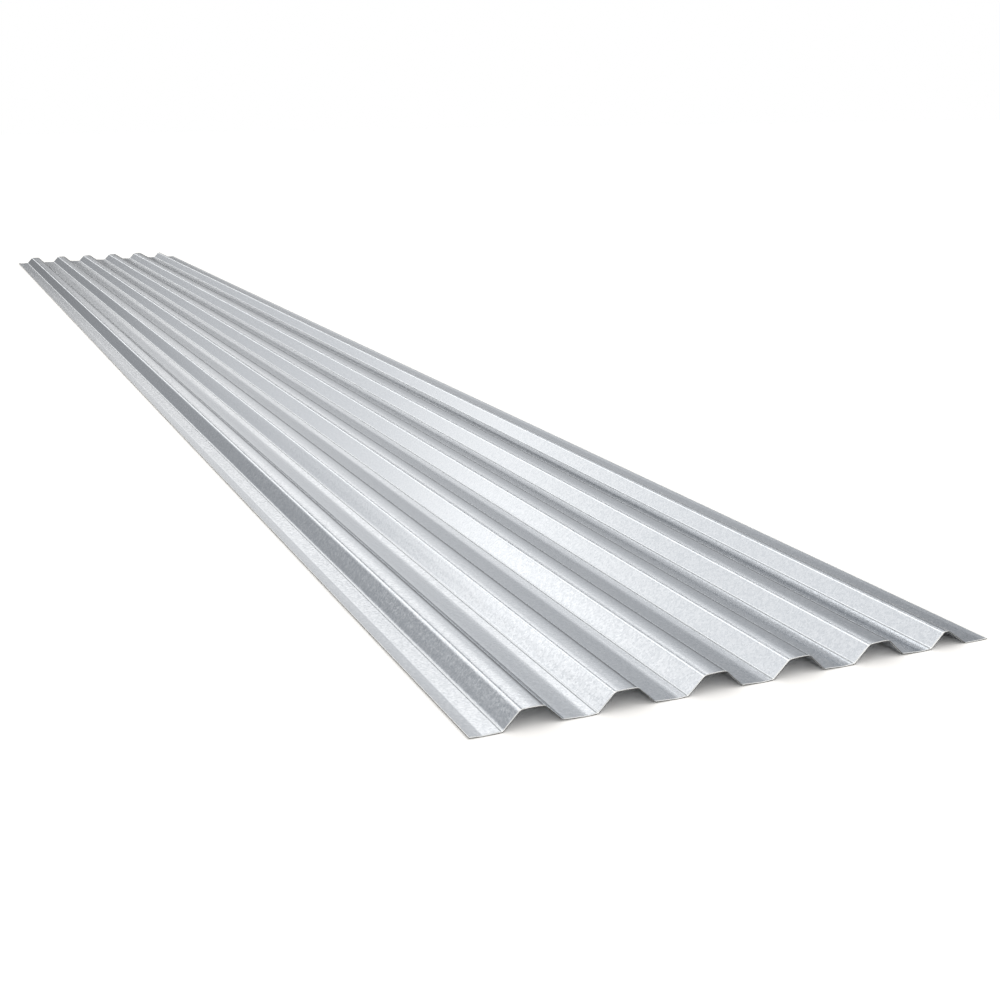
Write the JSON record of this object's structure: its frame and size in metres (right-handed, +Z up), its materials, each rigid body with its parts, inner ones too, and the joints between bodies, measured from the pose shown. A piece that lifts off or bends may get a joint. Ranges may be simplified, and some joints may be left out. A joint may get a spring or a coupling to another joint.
{
  "type": "corrugated metal sheet",
  "caption": "Long thin galvanised steel sheet with flat-topped trapezoidal ribs along its length, for roofing and cladding. Lies on its pans and laps side to side.",
  "frame": {"origin": "centre of the sheet's footprint, at the level of the surface that the pans lie on", "axes": "+X across the ribs, +Y along the ribs, +Z up from the pans to the rib crests"},
  "size_m": [0.7631, 6, 0.0258],
  "materials": {
    "galvanised_steel": "hot-dip galvanised, satin, fine spangle"
  },
  "bodies": {
    "root": {"profiled_sheet": "galvanised_steel"}
  },
  "joints": []
}
